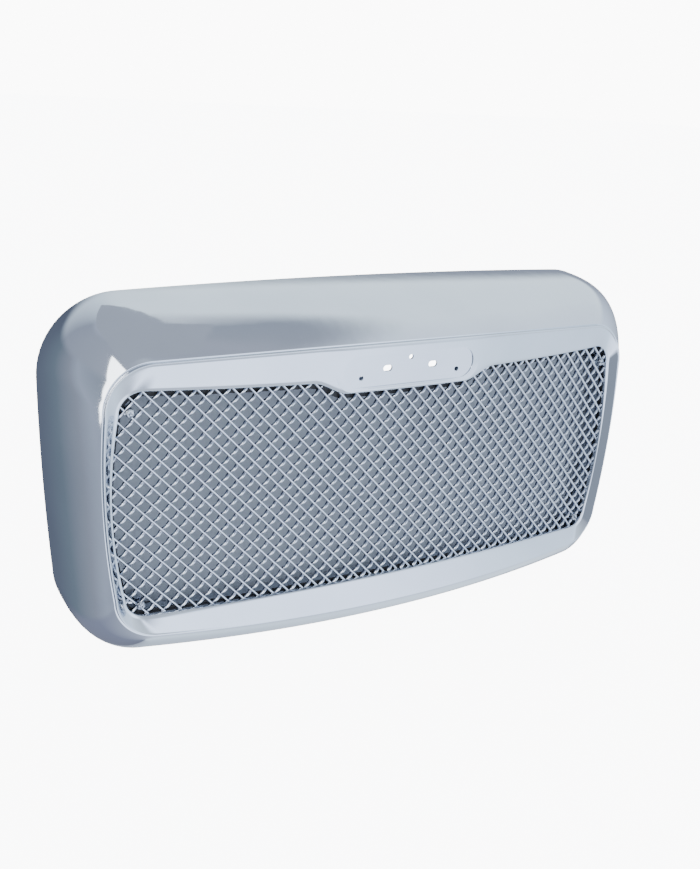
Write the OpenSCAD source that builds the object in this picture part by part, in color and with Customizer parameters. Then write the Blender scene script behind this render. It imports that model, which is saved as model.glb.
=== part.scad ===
// Chromed front grille for a heavy vehicle: a deep one-piece surround, a bowed
// diamond lattice held by four corner screws, and a framed insect screen behind it.
// +X is to the right seen from the front, the front faces -Y, +Z is up.
// The origin is the centre of the four mounting holes, on the plane of the vehicle's face.

/* [Lattice] */
// Width of one diamond, corner to corner
cell_w = 25.4; // [22:0.2:32]
// Height of one diamond, corner to corner
cell_h = 27.3; // [22:0.1:34]
// Width of a lattice rib
rib_w = 4.2; // [3:0.2:6]
// Depth of the lattice, front to back
lattice_depth = 10; // [6:1:16]
// Radius of the bow seen from above
bow_r = 2670; // [1800:10:4000]

/* [Opening] */
// Half width of the opening at its top corners
open_w_top = 448; // [340:1:520]
// Half width of the opening at its bottom corners
open_w_bottom = 446; // [340:1:520]
// How far each side of the opening swells outwards at mid height
open_bulge = 19; // [0:1:30]
// Half height of the opening
open_h = 173.5; // [140:0.5:210]
// Rise of the top and bottom edges from the middle out to the corners
open_flare = 7; // [0:0.5:12]
// Corner radii of the opening
open_r_top = 36; // [24:1:50]
open_r_bottom = 28; // [20:1:50]

/* [Surround] */
// Width added on each side from the opening to the crest of the bezel
bezel_side = 18; // [12:1:30]
// Height added above the opening to the crest of the bezel
bezel_top = 58; // [50:1:80]
// Height added below the opening to the crest of the bezel
bezel_bottom = 46; // [30:1:60]
// How much wider the rear edge is than the opening on each side, top and bottom
rear_out_top = 86; // [60:1:110]
rear_out_bottom = 72; // [50:1:110]
// How far the rear edge stands above and below the opening
rear_above = 127; // [100:0.5:150]
rear_below = 111.5; // [90:0.5:130]
// Depth from the front of the lattice at mid width to the vehicle's face
depth = 178; // [160:1:210]
// Wall thickness of the moulding
wall = 3.2; // [2.4:0.2:4]
// Width of the flange at the rear edge
rear_flange = 16; // [10:1:24]

/* [Emblem pad] */
// Drop of the opening's top edge under the emblem pad
pad_drop = 20; // [12:1:30]
// Length and height of the shallow recess for an emblem
recess_l = 240; // [180:1:260]
recess_h = 52; // [40:1:56]
// Distance between the two slots
slot_pitch = 83.2; // [60:0.2:110]
// Distance between the two outer pin holes
pin_pitch = 176.4; // [140:0.2:200]

/* [Insect screen] */
// Distance from the front of the lattice to the back of the opening's tube
tube_depth = 36; // [34:1:60]
// Width of the screen frame's rails
rail_w = 12; // [8:1:16]
// Thickness of the rails
rail_t = 6; // [4:0.5:9]
// Thickness of the screen cloth
cloth_t = 0.5; // [0.3:0.1:1]

/* [Mounting] */
// Distance between the mounting holes across
mount_x = 600; // [500:2:700]
// Distance of the mounting holes above and below the opening
mount_out = 46.5; // [44:0.5:52]
// Radius of a mounting hole
mount_hole_r = 4.5; // [3.5:0.25:6]
// Thickness of the bracket steel
bracket_t = 2.5; // [1.5:0.5:4]

/* [Hidden] */
$fn = 48;

chrome = [0.72, 0.75, 0.79];
zinc = [0.62, 0.63, 0.62];
black = [0.10, 0.10, 0.11];
alloy = [0.66, 0.67, 0.68];

// Seal, and the rear edge that stands on it
seal_t = 4;
rear_y = -seal_t;
rear_w_top = open_w_top + rear_out_top;
rear_w_bottom = open_w_bottom + rear_out_bottom;
rear_top = open_h + rear_above;
rear_bottom = open_h + rear_below;
mount_z = 2 * (open_h + mount_out);
rear_crown = 11;
crest_crown = 13;
crest_r_top = 76;
crest_r_bottom = 64;
rear_r_top = 125;
rear_r_bottom = 125;
rear_bulge = 10;
lip_fwd = 4;
crest_fwd = 17;
pad_face = 8;
recess_floor = 5.5;
flange_w = rail_w + 14;
flange_t = 3;
mesh_gap = 0.8;
// Length of the flats that a bowed slab is made of, and how far it reaches each side
bow_step = 40;
bow_end = bow_step * ceil((open_w_top + 80) / bow_step);
// Half size of a block that is larger than the whole front
big = 1.5 * (open_w_top + rear_out_top);
fit = 0.3;

// Outline points: stretches of the top, the bottom and the sides, and of each corner
N_TOP = 44;
N_BOTTOM = 22;
N_SIDE = 10;
N_ARC = 8;

// Distance that the bow sets a point back at a given x
function bow(x) = bow_r - sqrt(bow_r * bow_r - x * x);
function mix(a, b, t) = a + (b - a) * t;
function smooth(t) = let (u = min(1, max(0, t))) u * u * (3 - 2 * u);
// Share of the emblem pad's drop at a given x
function pad_share(x) = 1 - smooth((abs(x) - recess_l * 0.45) / (recess_l * 0.25));

// An outline is [half width top, bottom, side bulge, z top, z bottom, crown top,
// crown bottom, corner radius top, bottom, pad drop]
OPENING = [open_w_top, open_w_bottom, open_bulge, open_h, -open_h,
  -open_flare, -open_flare, open_r_top, open_r_bottom, pad_drop];
CREST = [open_w_top + bezel_side, open_w_bottom + bezel_side * 0.55, open_bulge,
  open_h + bezel_top, -open_h - bezel_bottom, crest_crown, crest_crown,
  crest_r_top, crest_r_bottom, 0];
REAR = [rear_w_top, rear_w_bottom, rear_bulge, rear_top, -rear_bottom,
  rear_crown, 2 * rear_crown, rear_r_top, rear_r_bottom, 0];

// Outline between two others: shares for the sides, the top, the bottom and the corner radii
function between(a, b, s, t, u, r) = [mix(a[0], b[0], s), mix(a[1], b[1], s), mix(a[2], b[2], s),
  mix(a[3], b[3], t), mix(a[4], b[4], u), mix(a[5], b[5], t), mix(a[6], b[6], u),
  mix(a[7], b[7], r), mix(a[8], b[8], r), mix(a[9], b[9], t)];
// The same outline moved outwards by d, or inwards for a negative d
function grown(a, d) = [a[0] + d, a[1] + d, a[2], a[3] + d, a[4] - d, a[5], a[6],
  max(4, a[7] + d), max(4, a[8] + d), a[9]];

// The same outline with another drop under the emblem pad
function dropped(a, drop) = [for (i = [0 : 9]) i < 9 ? a[i] : drop];

// Corner of an outline: centre, then the point at an angle, squared to the crowned edges
function top_z(a, x) = a[3] - a[5] * pow(x / a[0], 2) - a[9] * pad_share(x);
function bottom_z(a, x) = a[4] + a[6] * pow(x / a[1], 2);
function side_x(a, z) = let (v = (a[3] - z) / (a[3] - a[4]))
  mix(a[0], a[1], v) + a[2] * 4 * v * (1 - v);
function corner_top(a) = let (x = side_x(a, a[3] - a[5] - a[7]) - a[7]) [x, top_z(a, x) - a[7]];
function corner_bottom(a) = let (x = side_x(a, a[4] + a[6] + a[8]) - a[8]) [x, bottom_z(a, x) + a[8]];

// The right half of the outline from the middle of the top down to the middle of the bottom
function half_outline(a) = let (ct = corner_top(a), cb = corner_bottom(a)) concat(
  [for (i = [0 : N_TOP / 2]) let (x = ct[0] * i / (N_TOP / 2)) [x, top_z(a, x)]],
  [for (i = [1 : N_ARC]) let (g = 90 - 90 * i / N_ARC) ct + a[7] * [cos(g), sin(g)]],
  [for (i = [1 : N_SIDE - 1]) let (v = i / N_SIDE, z = mix(ct[1], cb[1], v))
    [mix(ct[0] + a[7], cb[0] + a[8], v) + side_swell(a, ct[1], cb[1], z), z]],
  [for (i = [0 : N_ARC]) let (g = -90 * i / N_ARC) cb + a[8] * [cos(g), sin(g)]],
  [for (i = [1 : N_BOTTOM / 2]) let (x = cb[0] * (1 - i / (N_BOTTOM / 2))) [x, bottom_z(a, x)]]);
// Swell of a side between its two corner arcs
function side_swell(a, z1, z2, z) = side_x(a, z)
  - mix(side_x(a, z1), side_x(a, z2), (z1 - z) / (z1 - z2));
function outline(a) = let (h = half_outline(a), n = len(h))
  concat(h, [for (i = [n - 2 : -1 : 1]) [-h[i][0], h[i][1]]]);

// Depth of the lattice's front at a given x, and of a plane parallel to it
function front_y(x) = -depth + bow(x);
// Share of a point in the top edge, and in the sides
blend_top = 90;
blend_side = 40;
function at_top(a, p) = smooth((p[1] - a[3] + blend_top) / blend_top);
function at_side(a, p) = smooth((abs(p[0]) - a[0] + blend_side + 5) / blend_side);
// A ring of the surround: an outline set at a depth behind the lattice's front, following
// the bow, with its top set back by dt and its sides by ds
function ring(a, d, dt, ds) = [for (p = outline(a))
  [p[0], front_y(p[0]) + d + dt * at_top(a, p) + ds * at_side(a, p), p[1]]];

// Shares along the shell from the crest (0) to the rear edge (1)
SHELL = [0.012, 0.06, 0.14, 0.26, 0.4, 0.55, 0.75, 1];
function flank(t) = 0.3 * t + 0.7 * (1 - pow(1 - t, 3));
function chin(t) = 0.2 * t + 0.8 * (1 - pow(1 - t, 6));
function shell_outline(t, inset) = 
  grown(between(CREST, REAR, flank(t), flank(t), chin(t), pow(t, 1.3)), (1 - t) * (0.4 + 3 * t) - inset);
function shell_ring(t, inset, front) = [for (p = outline(shell_outline(t, inset)))
  [p[0], mix(front_y(p[0]) - crest_fwd + 4 + front, rear_y - (t == 1 && inset > 0 ? flange_t : 0), t)
    + top_back(t) * at_top(shell_outline(t, inset), p), p[1]]];
// The top of the crest sits back, level with the emblem pad
crest_back = crest_fwd - pad_face - 3;
function top_back(t) = crest_back * (1 - t);

BEZEL = between(OPENING, CREST, 0.8, 0.92, 0.9, 0.9);
LIP = between(OPENING, CREST, 0.25, 0.12, 0.2, 0.15);
// Set-back of the side's slope at the lip, which makes the sides of the bezel a funnel
lip_side = 3.5;
// The flange round the tube narrows under the pad, so that the pad's holes stay clear
FLANGE = dropped(grown(OPENING, flange_w), pad_drop + flange_w - rail_w - 1);
// Step between the crest's bead and the shell: how far out it stands, and how deep it is
step_out = 0.2;
step_d = 6.2;
SURROUND = concat(
  [ring(OPENING, tube_depth, 0, 0), ring(OPENING, -1, 0, 0)],
  [ring(grown(OPENING, 1), -lip_fwd, 0, 2), ring(LIP, -lip_fwd - 3, 1, lip_side)],
  [ring(BEZEL, -crest_fwd + 2, crest_back, 0), ring(CREST, -crest_fwd, crest_back, 0)],
  [ring(grown(CREST, step_out), -crest_fwd + step_d, crest_back, 0)],
  [for (t = SHELL) shell_ring(t, 0, 0)],
  [ring_flat(grown(REAR, -rear_flange), rear_y), ring_flat(grown(REAR, -rear_flange), rear_y - flange_t)],
  [for (i = [len(SHELL) - 1 : -1 : 0]) shell_ring(SHELL[i], wall, wall)],
  [ring(BEZEL, -crest_fwd + wall + 3, crest_back, 0), ring(LIP, -lip_fwd + wall, 0, lip_side)],
  [ring(grown(OPENING, wall), wall, 0, 0), ring(grown(OPENING, wall), tube_depth - flange_t, 0, 0)],
  [ring(FLANGE, tube_depth - flange_t, 0, 0), ring(FLANGE, tube_depth, 0, 0)]);
function ring_flat(a, y) = [for (p = outline(a)) [p[0], y, p[1]]];

// A closed skin through a loop of rings
module skin(rings) {
  n = len(rings[0]);
  m = len(rings);
  points = [for (r = rings) each r];
  faces = [for (j = [0 : m - 1], i = [0 : n - 1]) let (
      a = j * n + i, b = j * n + (i + 1) % n,
      c = ((j + 1) % m) * n + (i + 1) % n, d = ((j + 1) % m) * n + i)
    each [[a, c, b], [a, d, c]]];
  polyhedron(points, faces);
}

// A flat drawing in X and Z stood up and stretched from y1 back to y2
module stand(y1, y2) {
  translate([0, y2, 0]) rotate([90, 0, 0]) linear_extrude(y2 - y1) children();
}
// A slab that follows the bow in short flats, from d1 to d2 behind the front of the lattice
module bowed_slab(d1, d2) {
  front = [for (x = [-bow_end : bow_step : bow_end]) [x, front_y(x)]];
  back = [for (i = [len(front) - 1 : -1 : 0]) front[i] + [0, d2]];
  translate([0, 0, -big]) linear_extrude(2 * big) polygon(concat([for (p = front) p + [0, d1]], back));
}
// A flat drawing in X and Z cut from the bowed slab
module bowed(d1, d2) {
  intersection() {
    stand(-depth + d1 - 1, -depth + d2 + bow(open_w_top + open_bulge + 60)) children();
    bowed_slab(d1, d2);
  }
}
// Places children on the bow at x and z, d behind the front of the lattice, square to it
module on_bow(x, z, d) {
  translate([x, front_y(x) + d, z]) rotate([0, 0, asin(x / bow_r)]) children();
}
// Round bar along Y from y = 0 back by a length
module bar(r, length) {
  rotate([-90, 0, 0]) cylinder(h = length, r = r);
}
// Flat shape with two round ends
module oblong(l, h) {
  square([l - h, h], center = true);
  for (s = [-1, 1]) translate([s * (l - h) / 2, 0]) circle(h / 2);
}

// Surround -----------------------------------------------------------------
recess_z = open_h + pad_drop - 5;
module emblem_pad() {
  bowed(-pad_face + 2, wall - recess_floor) translate([0, recess_z - 2]) oblong(recess_l + 20, recess_h + 8);
}
module emblem_cuts() {
  bowed(-pad_face - 12, -recess_floor) translate([0, recess_z]) oblong(recess_l, recess_h);
  for (s = [-1, 1]) translate([s * slot_pitch / 2, -depth - 20, slot_z]) slot_cut();
  for (p = PINS) translate([p[0], -depth - 20, p[1]]) bar(pin_r, 40);
}
slot_z = recess_z + 1.7;
slot_l = 16;
slot_h = 10;
pin_r = 4;
PINS = [[-pin_pitch / 2, recess_z - 10.7], [pin_pitch / 2, recess_z - 10.7], [0, recess_z + 16.8]];
module slot_cut() {
  stand(0, 40) square([slot_l - slot_h, slot_h], center = true);
  for (s = [-1, 1]) translate([s * (slot_l - slot_h) / 2, 0, 0]) bar(slot_h / 2, 40);
}

// Corner screws of the lattice: distance in from the sides, and from the top and bottom
SCREW_IN_TOP = [10, 25.5];
SCREW_IN_BOTTOM = [17.5, 11.5];
SCREWS = [for (s = [1, -1]) [s * (open_w_top - SCREW_IN_TOP[0]), open_h - SCREW_IN_TOP[1]],
  for (s = [1, -1]) [s * (open_w_bottom - SCREW_IN_BOTTOM[0]), -open_h + SCREW_IN_BOTTOM[1]]];
post_r = 7;
// The post stands off the back of the lattice by the slope of the bow across its end
post_front = lattice_depth + 0.6 + post_r * open_w_top / bow_r;
pilot_r = 2.1;
module mesh_posts() {
  for (s = SCREWS) translate([s[0], front_y(s[0]), s[1]]) {
    translate([0, post_front, 0]) bar(post_r, tube_depth - post_front - 0.5);
    post_rib(sign(s[0]), side_x(OPENING, s[1]) + wall / 2 - abs(s[0]));
  }
}
// Webs from a post out to the wall of the opening
module post_rib(sx, length) {
  translate([sx > 0 ? 0 : -length, post_front + 2, -1.5]) cube([length, tube_depth - post_front - 4, 3]);
}
module mesh_post_bores() {
  for (s = SCREWS) translate([s[0], front_y(s[0]) + post_front - 1, s[1]]) bar(pilot_r, 22);
}

// Bosses for the bracket feet, two to a bracket
boss_r = 6;
bracket_w = 48;
// The bracket feet stand this far behind the screen frame
boss_gap = 4.3;
boss_back = front_y(mount_x / 2 + bracket_w / 2) + tube_depth + rail_t + boss_gap;
boss_out = flange_w - boss_r - 0.5;
boss_z = open_h + open_flare * pow(mount_x / 2 / open_w_top, 2) + boss_out;
boss_pitch = 30;
BOSSES = [for (sz = [-1, 1], sx = [-1, 1], i = [-1, 1])
  [sx * mount_x / 2 + i * boss_pitch / 2, sz * boss_z]];
module bracket_bosses() {
  for (b = BOSSES) translate([b[0], front_y(b[0]) + tube_depth - 1, b[1]])
    bar(boss_r, boss_back - front_y(b[0]) - tube_depth + 1);
}
module bracket_boss_bores() {
  for (b = BOSSES) translate([b[0], boss_back - 12, b[1]]) bar(pilot_r, 14);
}

// Screen clips: two above, three below and one at each side
clip_out = rail_w + 8;
clip_hole_r = 1.6;
function edge_z(x, s) = s * (open_h + open_flare * pow(x / open_w_top, 2));
CLIPS = concat(
  [for (x = [-200, 200]) [x, edge_z(x, 1) + clip_out, 0]],
  [for (x = [-200, 0, 200]) [x, edge_z(x, -1) - clip_out, 180]],
  [for (s = [-1, 1]) [s * (side_x(OPENING, 0) + clip_out), 0, s > 0 ? -90 : 90]]);
module clip_bores() {
  for (c = CLIPS) on_bow(c[0], c[1], tube_depth) translate([0, -8, 0]) bar(clip_hole_r, 12);
}

// Bumpers on the rear flange
bumper_r = 6;
bumper_hole_r = 2.5;
BUMPERS = concat(
  [for (s = [-1, 1], z = [60, -90]) [s * (side_x(REAR, z) - rear_flange / 2), z]],
  [for (s = [-1, 1]) [s * 160, bottom_z(REAR, 160) + rear_flange / 2]]);
module bumper_bores() {
  for (b = BUMPERS) translate([b[0], rear_y - flange_t - 1, b[1]]) bar(bumper_hole_r, flange_t + 2);
}

module surround() {
  color(chrome) difference() {
    union() {
      skin(SURROUND);
      emblem_pad();
      mesh_posts();
      bracket_bosses();
    }
    emblem_cuts();
    mesh_post_bores();
    bracket_boss_bores();
    clip_bores();
    bumper_bores();
  }
}

// Lattice --------------------------------------------------------------------
lug_r = 7.5;
screw_clear_r = 2.9;
rim_w = 2.6;
hole_scale = 1 - rib_w * norm([cell_w, cell_h]) / (cell_w * cell_h);
module diamond() {
  polygon([for (g = [0 : 90 : 270]) hole_scale / 2 * [cell_w * cos(g), cell_h * sin(g)]]);
}
module diamonds() {
  nx = ceil((open_w_top + open_bulge) / cell_w);
  nz = ceil((open_h + open_flare) / cell_h);
  for (i = [-nx : nx], j = [-nz : nz], h = [0, 0.5]) 
    translate([(i + h + 0.5) * cell_w, (j + h) * cell_h]) diamond();
}
module lattice_drawing() {
  difference() {
    polygon(outline(grown(OPENING, -mesh_gap)));
    difference() {
      intersection() {
        diamonds();
        polygon(outline(grown(OPENING, -mesh_gap - rim_w)));
      }
      for (s = SCREWS) translate(s) circle(lug_r);
    }
    for (s = SCREWS) translate(s) circle(screw_clear_r);
  }
}
module mesh_insert() {
  color(chrome) bowed(0, lattice_depth) lattice_drawing();
}

// Screws ---------------------------------------------------------------------
// Pan head screw along Y: head in front of y = 0, shank behind it, driven by a cross recess
module pan_screw(head_r, head_h, shank_r, length) {
  difference() {
    union() {
      translate([0, -head_h, 0]) bar(head_r, head_h);
      bar(shank_r, length);
    }
    for (g = [0, 90]) rotate([0, g, 0]) translate([-head_r / 2, -head_h - 1, -0.5])
      cube([head_r, head_h * 0.6 + 1, 1]);
  }
}
washer_t = 1.2;
// The seat stands off the slope of the lattice, so that the screws stay along Y
seat_fwd = 1.4;
module mesh_screws() {
  color(zinc) for (s = SCREWS) translate([s[0], front_y(s[0]) - seat_fwd - washer_t - fit, s[1]])
    pan_screw(4.6, 3, pilot_r - 0.1, 30);
}
module mesh_washers() {
  color(zinc) for (s = SCREWS) translate([s[0], front_y(s[0]) - seat_fwd - washer_t, s[1]]) difference() {
    bar(7, washer_t);
    translate([0, -1, 0]) bar(2.6, washer_t + 2);
  }
}

// Insect screen ----------------------------------------------------------------
// The frame is four rails joined by corner keys, all to one section round the opening
key_x = open_w_top - 58;
key_z = open_h - 53.5;
// Gap between a corner key and the ends of the rails
key_gap = 0.1;
ledge_w = rail_w * 0.42;
groove_w = 3.2;
module band(o1, o2) {
  difference() {
    polygon(outline(grown(OPENING, o2)));
    polygon(outline(grown(OPENING, o1)));
  }
}
// One part of the frame: its section over the area that the children cover
module rail_section() {
  rail_layer(0, 2, 1, rail_w) children();
  rail_layer(1.9, rail_t - cloth_t - 0.2, 1, 1 + ledge_w) children();
  rail_layer(1.9, rail_t, 1 + ledge_w + groove_w, rail_w) children();
}
module rail_layer(d1, d2, o1, o2) {
  bowed(tube_depth + 0.1 + d1, tube_depth + 0.1 + d2) intersection() {
    band(o1, o2);
    children();
  }
}
module screen_top_rail() {
  color(alloy) rail_section() translate([-key_x, 0]) square([2 * key_x, big]);
}
module screen_bottom_rail() {
  color(alloy) rail_section() translate([-key_x, -big]) square([2 * key_x, big]);
}
module side_rail(s) {
  color(alloy) rail_section() translate([s > 0 ? 0 : -big, -key_z]) square([big, 2 * key_z]);
}
module screen_left_rail() { side_rail(-1); }
module screen_right_rail() { side_rail(1); }
module screen_corner_keys() {
  color(black) for (sx = [-1, 1], sz = [-1, 1]) rail_section()
    translate([sx > 0 ? key_x + key_gap : -big, sz > 0 ? key_z + key_gap : -big])
      square([big - key_x - key_gap, big - key_z - key_gap]);
}
module insect_screen() {
  color(zinc) bowed(tube_depth + rail_t - cloth_t, tube_depth + rail_t)
    polygon(outline(grown(OPENING, ledge_w)));
}
module screen_spline() {
  color(black) bowed(tube_depth + 2.3, tube_depth + rail_t)
    band(1 + ledge_w + 0.2, 1 + ledge_w + groove_w - 0.2);
}
// A pressed clip: a foot on the flange, a riser beside the rail and a tongue over it
clip_w = 14;
clip_t = 1.2;
module screen_clip() {
  difference() {
    union() {
      translate([-clip_w / 2, fit, -6]) cube([clip_w, clip_t, 12]);
      translate([-clip_w / 2, fit, -6]) cube([clip_w, rail_t + clip_t + fit, clip_t]);
      translate([-clip_w / 2, rail_t + 2 * fit, -14]) cube([clip_w, clip_t, 8 + clip_t]);
    }
    translate([0, -1, 0]) bar(clip_hole_r + 0.2, 5);
  }
}
module screen_clips() {
  color(zinc) for (c = CLIPS) on_bow(c[0], c[1], tube_depth) rotate([0, -c[2], 0]) screen_clip();
}
module clip_screws() {
  color(zinc) for (c = CLIPS) on_bow(c[0], c[1], tube_depth) translate([0, clip_t + 2 * fit, 0])
    rotate([180, 0, 0]) pan_screw(3, 2, clip_hole_r - 0.1, 8);
}

// Mounting -------------------------------------------------------------------------
// A folded bracket seen at the upper right: foot on two bosses, channel back to a bolt tab
foot_in = 10;
foot_out = 10;
tab_l = 28;
module bracket(sx, sz) {
  leg_z = boss_z + foot_out;
  foot_y = boss_back + 0.1;
  color(zinc) difference() {
    mirror([0, 0, sz < 0 ? 1 : 0]) translate([sx * mount_x / 2 - bracket_w / 2, 0, 0]) {
      translate([0, foot_y, boss_z - foot_in]) cube([bracket_w, bracket_t, foot_in + foot_out + bracket_t]);
      translate([0, foot_y, leg_z]) cube([bracket_w, -foot_y, bracket_t]);
      translate([0, -bracket_t, leg_z]) cube([bracket_w, bracket_t, tab_l]);
      for (x = [0, bracket_w - bracket_t]) translate([x, foot_y, leg_z]) cube([bracket_t, -foot_y, 9]);
    }
    translate([sx * mount_x / 2, -bracket_t - 1, sz * mount_z / 2]) bar(mount_hole_r, bracket_t + 2);
    for (i = [-1, 1]) translate([sx * mount_x / 2 + i * boss_pitch / 2, foot_y - 1, sz * boss_z])
      bar(pilot_r + 0.3, bracket_t + 2);
  }
}
module upper_left_bracket() { bracket(-1, 1); }
module upper_right_bracket() { bracket(1, 1); }
module lower_left_bracket() { bracket(-1, -1); }
module lower_right_bracket() { bracket(1, -1); }
module bracket_screws() {
  color(zinc) for (b = BOSSES) translate([b[0], boss_back + bracket_t + 2 * fit, b[1]]) rotate([180, 0, 0])
    pan_screw(4.5, 3, pilot_r - 0.1, 12);
}
module rubber_bumpers() {
  color(black) for (b = BUMPERS) translate([b[0], rear_y, b[1]]) {
    bar(bumper_r, seal_t);
    translate([0, -flange_t - 4, 0]) bar(bumper_hole_r - 0.1, flange_t + 4);
    translate([0, -flange_t - 4, 0]) bar(bumper_hole_r + 1, 3.5);
  }
}
// The seal runs over the top and down each side to this height
seal_from = 110;
module hood_seal() {
  color(black) stand(rear_y + 0.05, 0) intersection() {
    difference() {
      polygon(outline(grown(REAR, -3)));
      polygon(outline(grown(REAR, -13)));
    }
    translate([-big, seal_from]) square([2 * big, big]);
  }
}

surround();
mesh_insert();
mesh_screws();
mesh_washers();
screen_top_rail();
screen_bottom_rail();
screen_left_rail();
screen_right_rail();
screen_corner_keys();
insect_screen();
screen_spline();
screen_clips();
clip_screws();
upper_left_bracket();
upper_right_bracket();
lower_left_bracket();
lower_right_bracket();
bracket_screws();
rubber_bumpers();
hood_seal();
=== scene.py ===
# %% [markdown]
# # A chromed front grille, piece by piece
#
# The real object is one large chromed moulding that frames a wide opening. A chromed
# lattice stands in the opening, an insect screen sits in a frame behind it, and four folded
# brackets carry the whole against the vehicle. The solid model gives every piece its place
# and size. This lesson builds the finished look around it, one piece to a step.
#
# The solid model comes first, because everything later takes its place from it.

import math

import bpy
import numpy as np
from mathutils import Matrix, Vector


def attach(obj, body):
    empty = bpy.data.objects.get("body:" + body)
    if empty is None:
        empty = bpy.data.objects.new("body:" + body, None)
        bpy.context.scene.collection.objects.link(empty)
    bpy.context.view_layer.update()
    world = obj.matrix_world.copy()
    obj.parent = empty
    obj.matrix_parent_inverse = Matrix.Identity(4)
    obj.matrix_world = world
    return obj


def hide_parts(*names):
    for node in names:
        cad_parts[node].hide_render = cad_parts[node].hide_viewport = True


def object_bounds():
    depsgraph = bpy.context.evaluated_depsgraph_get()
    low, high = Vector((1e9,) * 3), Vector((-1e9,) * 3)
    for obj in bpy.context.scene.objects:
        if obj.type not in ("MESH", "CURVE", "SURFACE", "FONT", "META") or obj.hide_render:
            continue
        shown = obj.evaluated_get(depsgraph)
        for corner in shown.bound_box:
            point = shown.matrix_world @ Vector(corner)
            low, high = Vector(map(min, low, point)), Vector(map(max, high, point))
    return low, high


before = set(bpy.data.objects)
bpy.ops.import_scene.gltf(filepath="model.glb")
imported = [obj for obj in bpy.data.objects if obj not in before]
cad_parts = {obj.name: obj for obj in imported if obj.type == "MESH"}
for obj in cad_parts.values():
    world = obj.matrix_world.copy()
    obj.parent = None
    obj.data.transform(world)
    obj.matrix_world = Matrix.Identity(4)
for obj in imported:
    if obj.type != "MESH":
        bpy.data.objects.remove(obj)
cad_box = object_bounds()
MM = 0.001
print("solid pieces:", len(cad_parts))
print("size in metres:", [round(v, 4) for v in cad_box[1] - cad_box[0]])

# %% [markdown]
# ## The camera
#
# A camera can be aimed by hand, by a tracking constraint, or by working out its three axes.
# The axes are worked out here, because the shot has a small roll that a constraint would
# take away. The lens is a moderate 40 mm from under two metres, so the near end of the
# grille looks clearly larger than the far one.

# %% The camera
CAMERA_AT = Vector((-0.7969, -1.4012, 0.6026))
LENS, SENSOR = 39.73, 36.0
azimuth, elevation, roll = (math.radians(a) for a in (-29.663, 20.134, 3.454))

towards = Vector((
    math.sin(azimuth) * math.cos(elevation),
    -math.cos(azimuth) * math.cos(elevation),
    math.sin(elevation),
))
level = (-towards).cross(Vector((0, 0, 1))).normalized()
upright = level.cross(-towards)
right = level * math.cos(roll) + upright * math.sin(roll)
up = upright * math.cos(roll) - level * math.sin(roll)

lens = bpy.data.cameras.new("studio_camera")
lens.lens, lens.sensor_width = LENS, SENSOR
camera = bpy.data.objects.new("studio_camera", lens)
bpy.context.scene.collection.objects.link(camera)
axes = Matrix((right, up, towards)).transposed()
camera.matrix_world = Matrix.Translation(CAMERA_AT) @ axes.to_4x4()
bpy.context.scene.camera = camera
print("camera distance:", round(CAMERA_AT.length, 3))

# %% [markdown]
# ## Sums on sockets
#
# A material or a geometry tree is a net of nodes. Writing each link by hand hides the idea
# behind it, so one small class wraps an output and lets it stand in ordinary sums. The same
# class has one method that adds any other node: its settings come first, because some of
# them change which sockets the node has, and then the values or links of its inputs.


# %% A signal in a node tree
class Signal:
    """One output of a node, which can stand in a sum."""

    def __init__(self, socket):
        self.socket, self.tree = socket, socket.id_data

    def add(self, kind, settings=(), inputs=(), out=0):
        """Adds a node of a kind to the same tree and gives back one of its outputs."""
        node = self.tree.nodes.new(kind)
        for name, value in dict(settings).items():
            if name == "stops":
                ramp = node.color_ramp
                while len(ramp.elements) < len(value):
                    ramp.elements.new(0.5)
                for stop, (place, colour) in zip(ramp.elements, value):
                    stop.position, stop.color = place, colour
            else:
                setattr(node, name, value)
        for name, value in dict(inputs).items():
            if isinstance(value, Signal):
                self.tree.links.new(value.socket, node.inputs[name])
            else:
                node.inputs[name].default_value = value
        return Signal(node.outputs[out]) if node.outputs else None

    def sum(self, operation, a, b=0.0):
        return self.add("ShaderNodeMath", {"operation": operation}, {0: a, 1: b})

    def __add__(self, other):
        return self.sum("ADD", self, other)

    def __radd__(self, other):
        return self.sum("ADD", other, self)

    def __sub__(self, other):
        return self.sum("SUBTRACT", self, other)

    def __rsub__(self, other):
        return self.sum("SUBTRACT", other, self)

    def __mul__(self, other):
        return self.sum("MULTIPLY", self, other)

    def __rmul__(self, other):
        return self.sum("MULTIPLY", other, self)

    def __truediv__(self, other):
        return self.sum("DIVIDE", self, other)

    def __pow__(self, other):
        return self.sum("POWER", self, other)

    def __abs__(self):
        return self.sum("ABSOLUTE", self)

    def above(self, edge):
        return self.sum("GREATER_THAN", self, edge)

    def below(self, edge):
        return self.sum("LESS_THAN", self, edge)

    def part(self, axis):
        """The x, y or z of a vector."""
        return self.add("ShaderNodeSeparateXYZ", inputs={0: self}, out=axis)

    def band(self, low, high):
        """0 below low, 1 above high, and a smooth rise between."""
        return self.add("ShaderNodeMapRange", {"interpolation_type": "SMOOTHSTEP"},
                        {"Value": self, "From Min": low, "From Max": high})


print("sums ready")

# %% [markdown]
# ## A plain studio
#
# Chrome has no colour of its own worth speaking of: it shows the room. The room could be
# built from lamps, but each lamp would show as one more bright shape in every curve. Here
# it is painted instead: four tables give its colour by compass bearing, for what lies under,
# low, high and overhead, and they blend into each other with height. Two glowing cards,
# seen only in reflections, add the shapes with straight edges, and a softly glowing floor
# keeps the ground pale.

# %% Stage helpers
scene = bpy.context.scene


def new_tree(material):
    """An empty node tree with a principled shader wired to its output."""
    material.use_nodes = True
    tree = material.node_tree
    tree.nodes.clear()
    shader = tree.nodes.new("ShaderNodeBsdfPrincipled")
    end = tree.nodes.new("ShaderNodeOutputMaterial")
    tree.links.new(shader.outputs[0], end.inputs["Surface"])
    return tree, shader


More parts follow.
